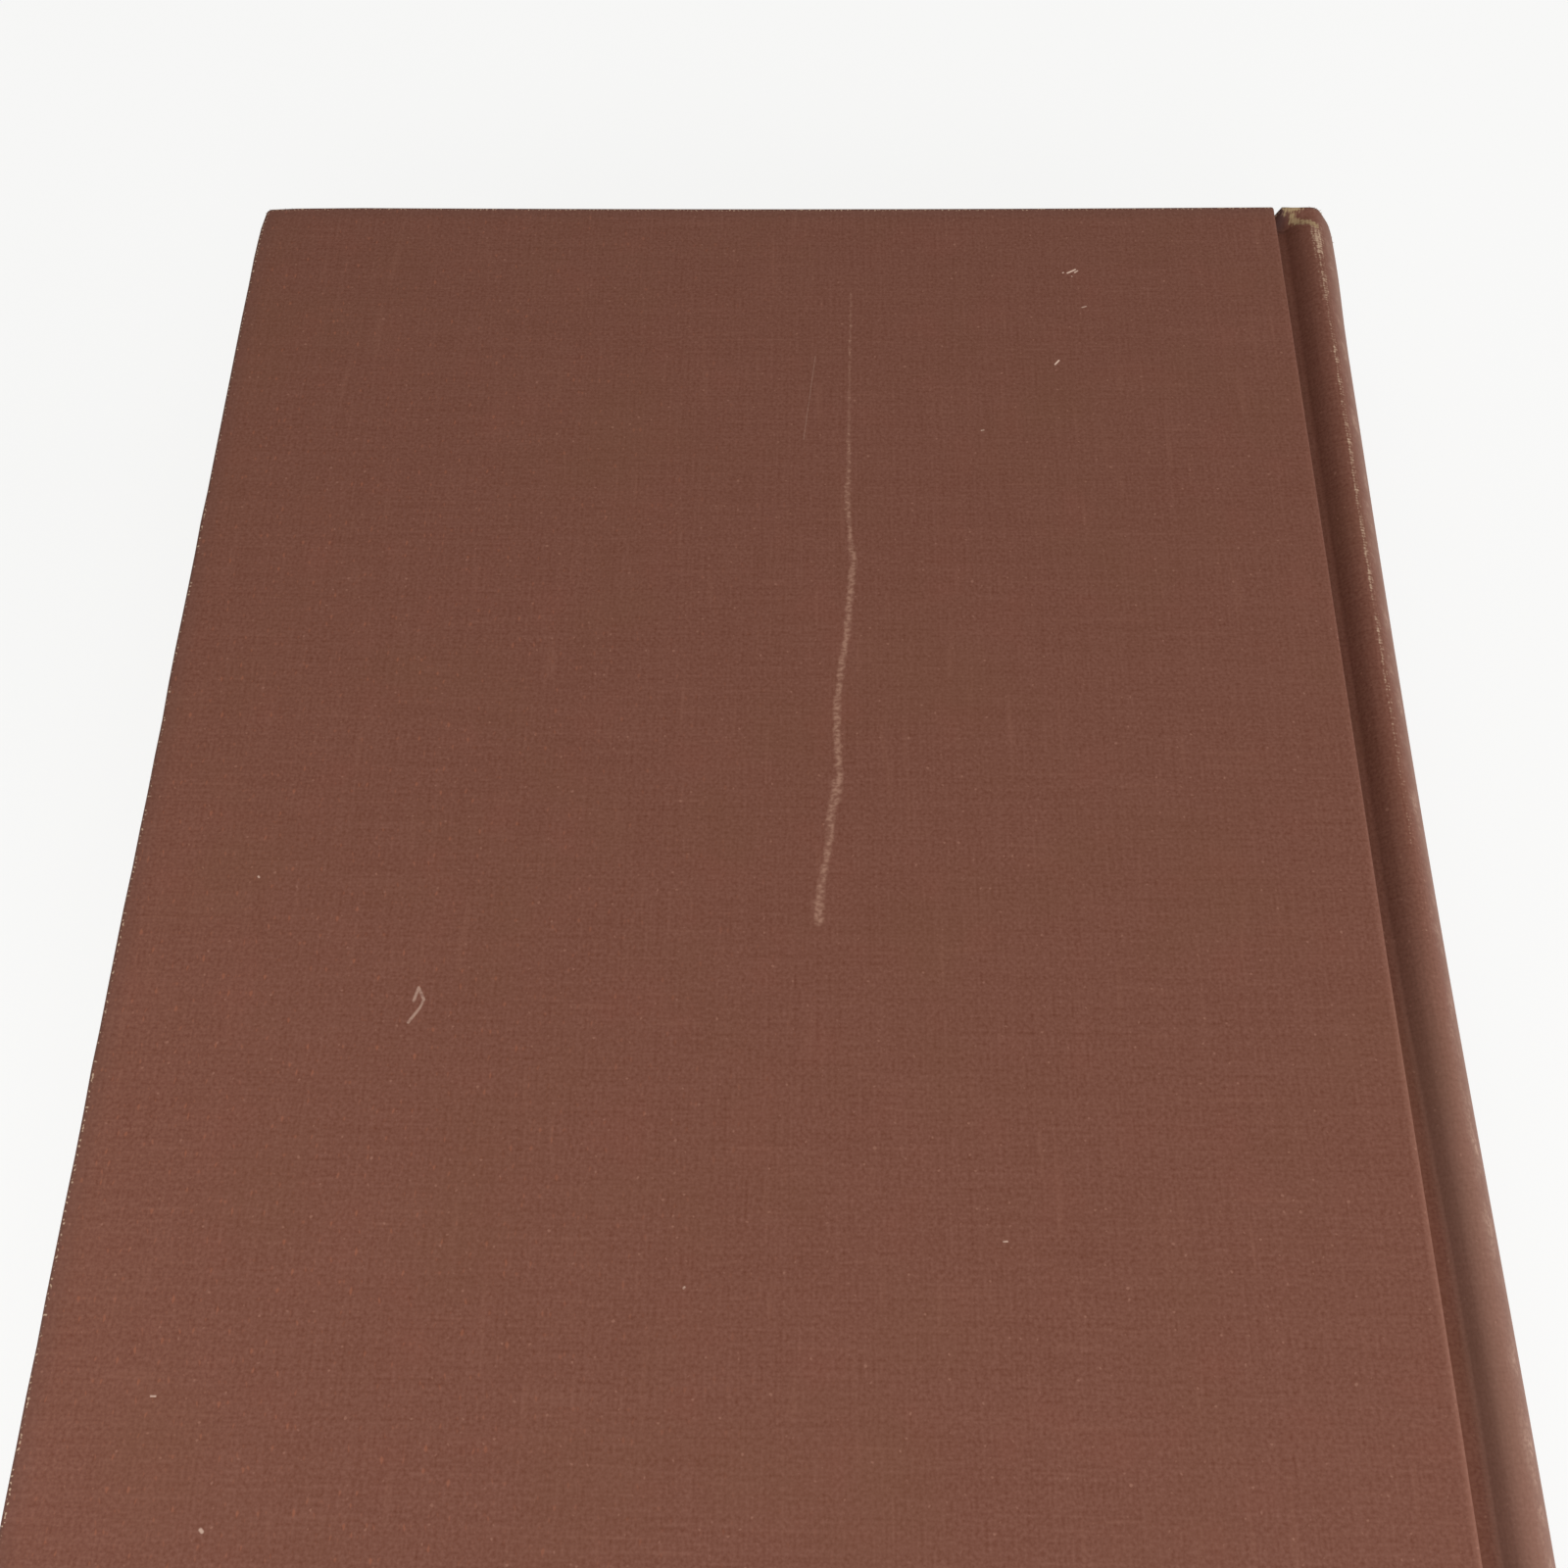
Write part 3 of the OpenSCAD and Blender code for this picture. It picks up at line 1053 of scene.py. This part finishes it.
def book_cloth():
    material, net, shader = new_material("worn_book_cloth", 0.82, 0.2)
    ramp, most = net.ramp, net.most
    sheet = net.add("ShaderNodeUVMap").outputs[0]
    u, v, _ = net.split(sheet)
    weave = use_group(net, WEAVE, Sheet=sheet, Warp=0.518 * MM, Weft=0.441 * MM)
    height, tone, slub = weave["Height"], weave["Tone"], weave["Slub"]

    # Both covers wear alike: distance along the sheet is counted from the nearer joint edge.
    run = SPINE_RUN - abs(u - SPINE_RUN)
    end = HEAD - abs(v)
    patches = net.noise(sheet, 260, 2, 0.6)
    broad = net.noise(sheet, 45, 2, 0.55)
    grain = net.noise(sheet, 2300, 1, 0.6)

    def cells(layer, scale, detail, rough=0.5):
        return net.noise(net.combine(u, v, layer), scale, detail, rough)

    def ramp_mm(value, low, high, *to):
        return ramp(value, low * MM, high * MM, *to)

    def near_run(centre, half):
        return ramp(abs(run - centre), half, 0.0)

    def tint(mask, *shade):
        """Lays a shade over the colour so far."""
        nonlocal colour
        colour = net.mix(mask, colour, linear(*shade))

    # Dyed threads. The tops of the weave are a little lighter than the pores between them, as painted highlight and
    # shade. Single threads and fibres are lighter or darker, partly their own tone and partly painted glints.
    colour = net.mix(ramp(height, 0.2, 0.95), linear(105, 64.2, 50.6), linear(107.6, 67.0, 53.1))
    colour = net.lighten(colour, grain * 0.8 + tone * 0.38 - 0.59, (0.115, 0.069, 0.056))
    tint(ramp(broad, 0.45, 0.75, 0, 0.24), 103, 68, 47)
    tint(ramp(net.noise(sheet, 130, 2), 0.5, 0.8, 0, 0.13), 121, 68, 55)
    tint(slub * 0.1, 138, 95, 78)
    specks = ramp(cells(31.0, 1700, 0), 0.76, 0.88, 0, 0.42)
    tint(specks, 150, 108, 91)
    dashes = net.noise(net.combine(u * 1.4, v * 0.6, 21.0), 1600, 0)
    dashes = ramp(dashes, 0.7, 0.86, 0.0, 0.5) * ramp(u, -0.05, -0.12)
    tint(dashes, 142, 85, 62)

    # Dust, light rubbing and painted light: a soft painted highlight on the joint edge, painted bounce light in the
    # groove, and dust with painted sheen on the shoulder and round back.
    # A soft lighter line on the joint edge, stronger towards the tail: painted highlight, with a little rubbing.
    edge = near_run(-0.2 * MM, 0.8 * MM) * ramp(v, 0.05, -0.03, 0.04, 0.24)
    tint(edge, 156, 112, 95)
    # Dust with painted sheen: the shoulder and round back, and the shoulder towards the tail, mixed towards a pale
    # grey.
    dust_and_sheen = ramp(run, CREST_RUN - 1.0 * MM, CREST_RUN + 7.5 * MM) * ramp(patches, 0.2, 0.8, 0.42, 0.54)
    foot = ramp_mm(run, 3.8, 5.2) * ramp(v, 0.03, -0.03, 0.0, 0.25)
    dust_and_sheen = most(dust_and_sheen, foot)
    # Painted bounce light: the groove's floor beside the joint edge is lighter and more orange towards the tail.
    painted_groove_light = near_run(1.9 * MM, 2.2 * MM) * ramp(v, 0.03, -0.03, 0.0, 0.4)
    tint(painted_groove_light, 126, 76, 54)
    # Lays the dust and painted sheen over the shoulder and round back.
    tint(dust_and_sheen, 142, 115, 101)
    streaks = net.noise(net.combine(u * 0.75, v * 1.3, 6.0), 1500, 1)
    rubs = near_run(CREST_RUN + 3.2 * MM, 3.0 * MM)
    rubs *= ramp(cells(2.0, 230, 2, 0.6), 0.42, 0.78)
    rubs *= ramp(streaks, 0.36, 0.64, 0.12, 0.6)
    tint(rubs, 172, 143, 125)

    # Worn through to pale threads: shoulder and cap at head and tail, fore edge and ends of the covers. The rolled
    # edges also get painted shade, and the groove under the caps a painted shadow.
    knots = ramp(cells(14.0, 900, 1), 0.4, 0.66)
    crest = near_run(CREST_RUN + 0.3 * MM, ramp_mm(end, 22, 6, 1.1 * MM, 2.0 * MM))
    crest *= ramp(patches, 0.3, 0.6, 0.6, 1.0)
    crest *= ramp_mm(end, 16, 3, 0.8, 1.0) * ramp(v, -0.02, 0.06, 0.35, 1.0)
    crest *= most(ramp(knots, 0.0, 1.0, 0.8, 1.05), ramp_mm(end, 12, 5))
    crest *= ramp_mm(end, 1.8, 3.2)
    rim = net.least(end, run - (FORE - JOINT))
    # Painted shade: the cloth is darker towards the head, tail and fore edges, and darkest on the roll over them.
    tint(ramp_mm(rim, 3.2, 0.3, 0.0, 0.3), 88, 60, 51)
    tint(ramp_mm(rim, 0.7, 0.1, 0.0, 0.55), 70, 47, 39)
    nibbled = cells(44.0, 3200, 0) + ramp_mm(end, 18, 3, 0.0, 0.05)
    rims = ramp(abs(rim - 0.4 * MM), 0.6 * MM, 0.0)
    rims *= ramp(nibbled, 0.5, 0.72, 0.1, 0.95)
    cap = ramp_mm(end, 1.5, 0.5) * ramp(run, CREST_RUN - 6 * MM, CREST_RUN - 4.4 * MM)
    cap *= ramp(run, CREST_RUN - 0.5 * MM, CREST_RUN - 2.8 * MM, 0.42, 1.0)
    slant = (run - (CREST_RUN - 3.3 * MM)) * 0.55 + 1.1 * MM
    slant = ramp_mm(abs(end - slant), 1.0, 0.1)
    slant *= ramp(abs(run - (CREST_RUN - 1.6 * MM)), 3.0 * MM, 1.8 * MM)
    cap = most(cap, slant)
    # Painted shadow in the groove just under the cap's overhang at head and tail.
    painted_cap_shadow = near_run(CREST_RUN - 5.2 * MM, 2.0 * MM) * ramp_mm(end, 2.7, 1.2, 0.0, 0.7)
    tint(painted_cap_shadow, 58, 40, 40)
    wear = most(most(crest, rims), cap)
    ragged = height * 0.42 + grain * 0.95
    rubbed = ramp(wear + (ragged - 0.75), 0.45, 1.05)
    straw = net.mix(ramp(cap, 0.2, 0.7), linear(178, 152, 128), linear(158, 137, 102))
    colour = net.mix(rubbed * 0.78, colour, straw)

    # The long scrape, only on the back cover.
    low, high = SCRAPE[-1][0], SCRAPE[0][0]
    share = net.math("DIVIDE", v - low * MM, (high - low) * MM, clamp=True)
    points = [((y - low) / (high - low), x / 10) for y, x, _ in reversed(SCRAPE)]
    line = net.curve(share, points) * (10 * MM) - JOINT
    widths = [((y - low) / (high - low), w) for y, _, w in reversed(SCRAPE)]
    width = net.curve(share, widths) * MM
    wander = (net.noise(net.combine(0.0, v, 5.0), 900, 2) - 0.5) * (0.35 * MM)
    threads = net.noise(net.combine(u * 0.75, v * 1.2, 8.0), 1900, 1)
    frayed = (cells(17.0, 1500, 1) - 0.5) * (0.7 * MM)
    gap = most(abs(u + wander - line) + frayed, 0.0)
    past = most(low * MM - v, v - high * MM)
    reach = net.math("POWER", gap, 2.0) + net.math("POWER", most(past, 0.0), 2.0)
    scrape = ramp(net.math("SQRT", reach) / width, 1.35, 0.2)
    broken = ramp(threads + ramp(v, 0.085, 0.05, -0.16, 0.0), 0.36, 0.66, 0.24, 1.0)
    tint(scrape * broken * 0.8, 151, 114, 96)

    marks = None
    for strength, lines in SHORT_MARKS.items():
        nearest = None
        for x, y, to_x, to_y, half in lines:
            origin = (x * MM - JOINT, y * MM, 0)
            way = Vector((to_x - x, to_y - y, 0)) * MM
            pace = tuple(way / way.length_squared)
            mark = use_group(net, MARK, Sheet=sheet, From=origin, Way=tuple(way), Pace=pace, Width=half * MM)
            nearest = mark["Reach"] if nearest is None else net.least(nearest, mark["Reach"])
        mask = ramp(nearest, 1.0, 0.35, 0.0, strength)
        marks = mask if marks is None else most(marks, mask)
    marks *= ramp(threads, 0.3, 0.55, 0.55, 1.0)
    tint(marks, 206, 178, 160)

    net.put(shader.inputs["Roughness"], ramp(rubbed, 0, 1, 0.8, 0.92))
    shader.inputs["Sheen Weight"].default_value = 0.05
    shader.inputs["Sheen Roughness"].default_value = 0.45
    shader.inputs["Sheen Tint"].default_value = linear(230, 190, 175)
    paint(net, shader, colour, height, 0.05 * MM, 0.11)
    return material


def loose_thread():
    material, net, shader = new_material("frayed_thread", 0.9, 0.2)
    place = net.place()
    tone = net.ramp(net.noise(place, 1800, 3), 0.35, 0.65)
    colour = net.mix(tone, linear(122, 97, 66), linear(186, 164, 124))
    paint(net, shader, colour, net.noise(place, 9000, 2), 0.02 * MM)
    return material


def paper(name, light, dark, scale, age=None):
    material, net, shader = new_material(name, 0.92, 0.2)
    place = net.place()
    felt = use_group(net, FIBRES, Place=place, Scale=scale)
    colour = net.mix(net.ramp(felt["Tone"], 0.15, 0.85), dark, light)
    spots = net.ramp(net.noise(place, 170, 3), 0.68, 0.76)
    colour = net.mix(spots * 0.25, colour, age or dark)
    paint(net, shader, colour, felt["Height"], 0.03 * MM, 0.6)
    return material


def leaf_edges():
    """Cut edges of the leaves: fine lines one leaf apart, yellowed and dusty at the head."""
    material, net, shader = new_material("leaf_edges", 0.9, 0.2)
    place = net.place()
    x, y, z = net.split(place)
    lines = net.noise(net.combine(x * 14.0, y * 14.0, z * 9000.0), 1.0, 2, 0.6)
    wide = net.noise(net.combine(x * 9.0, y * 9.0, z * 900.0), 1.0, 2)
    felt = use_group(net, FIBRES, Place=place, Scale=700.0)
    colour = net.mix(net.ramp(lines, 0.34, 0.66), linear(170, 148, 112), linear(228, 214, 182))
    colour = net.mix(net.ramp(wide, 0.4, 0.7, 0.0, 0.4), colour, linear(186, 160, 118))
    colour = net.mix(net.ramp(felt["Tone"], 0.45, 0.65, 0.0, 0.25), colour, linear(160, 134, 98))
    colour = net.mix(net.ramp(y, 0.1135, 0.1142, 0.0, 0.25), colour, linear(132, 112, 88))
    paint(net, shader, colour, lines, 0.06 * MM, 0.7)
    return material


def gauze():
    """Open cotton gauze, stiff with glue."""
    material, net, shader = new_material("glued_gauze", 0.8, 0.35)
    x, y, z = net.split(net.place())
    weave = use_group(net, WEAVE, Sheet=net.combine(x + z, y, 0.0), Warp=1.1 * MM, Weft=1.1 * MM)
    colour = net.mix(net.ramp(weave["Height"], 0.45, 0.85), linear(170, 150, 116), linear(218, 208, 184))
    paint(net, shader, colour, weave["Height"], 0.1 * MM)
    return material


def band_thread():
    material, net, shader = new_material("band_thread", 0.75, 0.3)
    felt = use_group(net, FIBRES, Place=net.place(), Scale=2600.0)
    colour = net.mix(net.ramp(felt["Tone"], 0.38, 0.62), linear(186, 168, 134), linear(222, 211, 186))
    shader.inputs["Sheen Weight"].default_value = 0.2
    paint(net, shader, colour, felt["Height"], 0.03 * MM)
    return material


CLOTH_LOOK = book_cloth()
THREAD_LOOK = loose_thread()
ENDPAPER_LOOK = paper("endpaper", linear(226, 212, 182), linear(216, 200, 168), 800.0, linear(186, 156, 112))
BOARD_LOOK = paper("grey_board", linear(158, 148, 130), linear(128, 118, 102), 500.0)
KRAFT_LOOK = paper("kraft_lining", linear(176, 146, 104), linear(148, 116, 78), 700.0)
LEAF_LOOK = leaf_edges()
GAUZE_LOOK = gauze()
BAND_LOOK = band_thread()


# ---- the pieces

back_cloth = covering_cloth("back_case_cloth", True)
finish_piece(back_cloth, CLOTH_LOOK, stands_for=("back_cover_cloth", "spine_cloth"))
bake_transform(back_cloth)

front_cloth = covering_cloth("front_case_cloth", False)
finish_piece(front_cloth, CLOTH_LOOK, stands_for=("front_cover_cloth", "spine_cloth"))
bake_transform(front_cloth)

finish_piece(aged_board("back_board_aged"), BOARD_LOOK, "back_cover", ("back_board",))

for node, flyleaf, cover, upper in (
    ("back_pastedown", "back_flyleaf", "back_cover", True),
    ("front_pastedown", "front_flyleaf", "front_cover", False),
):
    paper_sheet = endpaper(node.replace("pastedown", "endpaper"), node, flyleaf, upper)
    finish_piece(paper_sheet, ENDPAPER_LOOK, stands_for=(node,))
    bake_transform(paper_sheet)

finish_piece(leaf_block("leaves"), LEAF_LOOK, "book_block", ("text_block",))
finish_piece(band("head_band_wound", "head_band", 1), BAND_LOOK, "book_block", ("head_band",))
finish_piece(band("tail_band_wound", "tail_band", -1), BAND_LOOK, "book_block", ("tail_band",))
inlay = swept_card("spine_card", 20.97 * MM, 21.56 * MM, 44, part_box("spine_inlay")[1].y)
finish_piece(inlay, BOARD_LOOK, "book_block", ("spine_inlay",))

for name, roots, length, thickness, seed, body in (
    ("head_cap_fray", cap_roots(1, 110, 5), 0.75 * MM, 0.08 * MM, 6, "book_block"),
    ("tail_cap_fray", cap_roots(-1, 70, 15), 0.6 * MM, 0.08 * MM, 16, "book_block"),
    ("corner_fray", corner_roots(12, 25), 0.35 * MM, 0.06 * MM, 26, "back_cover"),
):
    finish_piece(fibres(name, roots, length, thickness, seed), THREAD_LOOK, body)

for node, material in (
    ("front_board", BOARD_LOOK),
    ("back_flyleaf", ENDPAPER_LOOK),
    ("front_flyleaf", ENDPAPER_LOOK),
    ("mull", GAUZE_LOOK),
    ("spine_lining", KRAFT_LOOK),
):
    dress(bpy.data.objects[node], material)


# ---- floor, light and camera

clear()
bpy.ops.mesh.primitive_plane_add(size=8, location=(0, 0, -0.05 * MM))
floor = added("studio_floor")
floor_look, net, shader = new_material("studio_white", 0.9, 0.1)
shader.inputs["Base Color"].default_value = (0.9, 0.9, 0.9, 1)
glow = net.add("ShaderNodeEmission")
glow.inputs["Color"].default_value = linear(249, 249, 248)
path = net.add("ShaderNodeLightPath")
share = net.math("MULTIPLY", path.outputs["Is Camera Ray"], 0.88)
mixed = net.add("ShaderNodeMixShader")
net.fill(mixed, share, shader.outputs[0], glow.outputs[0])
output = next(n for n in floor_look.node_tree.nodes if n.type == "OUTPUT_MATERIAL")
net.put(output.inputs["Surface"], mixed.outputs[0])
floor.data.materials.append(floor_look)

world = bpy.data.worlds.new("studio")
bpy.context.scene.world = world
world.use_nodes = True
net = Net(world.node_tree)
sky = world.node_tree.nodes["Background"]
sky.inputs["Color"].default_value = (1.0, 0.99, 0.98, 1)
seen = net.add("ShaderNodeLightPath").outputs["Is Camera Ray"]
net.put(sky.inputs["Strength"], net.math("ADD", 0.64, net.math("MULTIPLY", seen, 0.27)))


def soft_light(name, place, target, size, watts):
    light = bpy.data.lights.new(name, "AREA")
    light.shape = "RECTANGLE"
    light.size, light.size_y = size
    light.energy = watts
    lamp = bpy.data.objects.new(name, light)
    lamp.location = place
    lamp.rotation_euler = (Vector(target) - Vector(place)).to_track_quat("-Z", "Y").to_euler()
    lamp.visible_camera = False
    bpy.context.scene.collection.objects.link(lamp)


soft_light("near_softbox", (0.02, -0.5, 0.36), (0.0, -0.03, 0.03), (0.4, 0.3), 1.6)
soft_light("spine_softbox", (1.0, 0.0, 0.42), (0.08, 0, 0.02), (1.1, 0.5), 4.2)
soft_light("joint_softbox", (0.08, -0.2, 0.2), (0.073, -0.04, 0.03), (0.08, 0.08), 0.08)
soft_light("left_softbox", (-0.17, -0.06, 0.1), (-0.06, -0.03, 0.03), (0.08, 0.1), 0.07)
soft_light("right_softbox", (0.32, -0.16, 0.19), (0.078, -0.04, 0.025), (0.12, 0.15), 0.25)

camera = bpy.data.cameras.new("photo_camera")
camera.sensor_width = 36
camera.lens = 36
eye = bpy.data.objects.new("photo_camera", camera)
eye.location = (0.00148998, -0.05654375, 0.20944945)
eye.rotation_euler = [radians(a) for a in (24.44, 0.81658492, 0.80601971)]
camera.clip_start, camera.clip_end = 0.01, 20
bpy.context.scene.collection.objects.link(eye)
bpy.context.scene.camera = eye
bpy.context.scene.view_settings.view_transform = "Standard"
